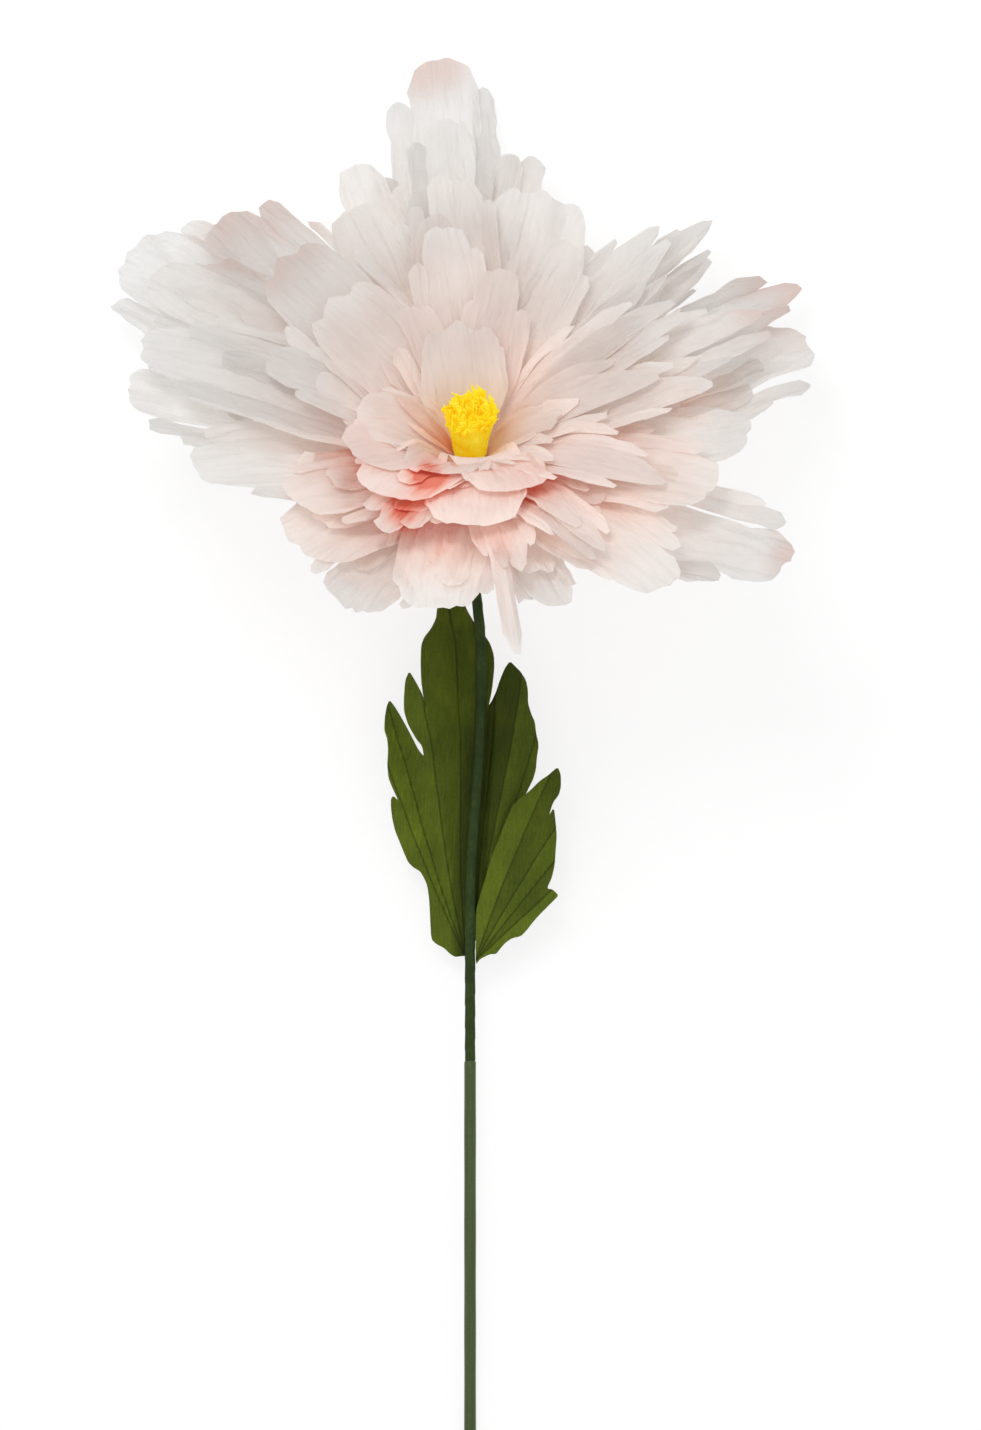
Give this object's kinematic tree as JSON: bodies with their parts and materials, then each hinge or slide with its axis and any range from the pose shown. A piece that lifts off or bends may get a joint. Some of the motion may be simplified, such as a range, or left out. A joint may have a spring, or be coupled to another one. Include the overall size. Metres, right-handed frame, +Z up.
{
  "type": "paper flower",
  "caption": "Giant paper flower lying on its back: layered lobed pink petals round a rolled yellow fringe, on a wired green stem with cut leaves.",
  "frame": {"origin": "on the floor, under the middle of the object's box", "axes": "+Z up from the floor, +Y along the stem from its foot towards the flower head, +X to the right seen from above"},
  "size_m": [0.492, 0.9982, 0.2836],
  "materials": {
    "petal_paper": "matt crepe paper, pale pink at the foot and near white at the tips",
    "stamen_paper": "matt yellow paper, cut to a fringe and rolled",
    "leaf_paper": "matt green crepe paper, mottled",
    "stem_tape": "wound green paper tape",
    "stem_coat": "smooth green coat, half matt",
    "wire_steel": "plain drawn wire",
    "core_foam": "light foam, hidden by the petals"
  },
  "bodies": {
    "root": {"flower_core": "core_foam", "leaf_back": "leaf_paper", "leaf_front": "leaf_paper", "leaf_left": "leaf_paper", "lower_stem": "stem_coat", "petal_01": "petal_paper", "petal_02": "petal_paper", "petal_03": "petal_paper", "petal_04": "petal_paper", "petal_05": "petal_paper", "petal_06": "petal_paper", "petal_07": "petal_paper", "petal_08": "petal_paper", "petal_09": "petal_paper", "petal_10": "petal_paper", "petal_11": "petal_paper", "petal_12": "petal_paper", "petal_13": "petal_paper", "petal_14": "petal_paper", "petal_15": "petal_paper", "petal_16": "petal_paper", "petal_17": "petal_paper", "petal_18": "petal_paper", "petal_19": "petal_paper", "petal_20": "petal_paper", "petal_21": "petal_paper", "petal_22": "petal_paper", "petal_23": "petal_paper", "petal_24": "petal_paper", "petal_25": "petal_paper", "petal_26": "petal_paper", "petal_27": "petal_paper", "petal_28": "petal_paper", "petal_29": "petal_paper", "petal_30": "petal_paper", "petal_31": "petal_paper", "petal_32": "petal_paper", "petal_33": "petal_paper", "petal_34": "petal_paper", "petal_35": "petal_paper", "petal_36": "petal_paper", "petal_37": "petal_paper", "petal_38": "petal_paper", "petal_39": "petal_paper", "petal_40": "petal_paper", "petal_41": "petal_paper", "petal_42": "petal_paper", "petal_43": "petal_paper", "petal_44": "petal_paper", "petal_45": "petal_paper", "petal_46": "petal_paper", "petal_47": "petal_paper", "petal_48": "petal_paper", "petal_49": "petal_paper", "petal_50": "petal_paper", "petal_51": "petal_paper", "petal_52": "petal_paper", "stamen_fringe": "stamen_paper", "stem_wire": "wire_steel", "stem_wrap": "stem_tape"}
  },
  "joints": []
}
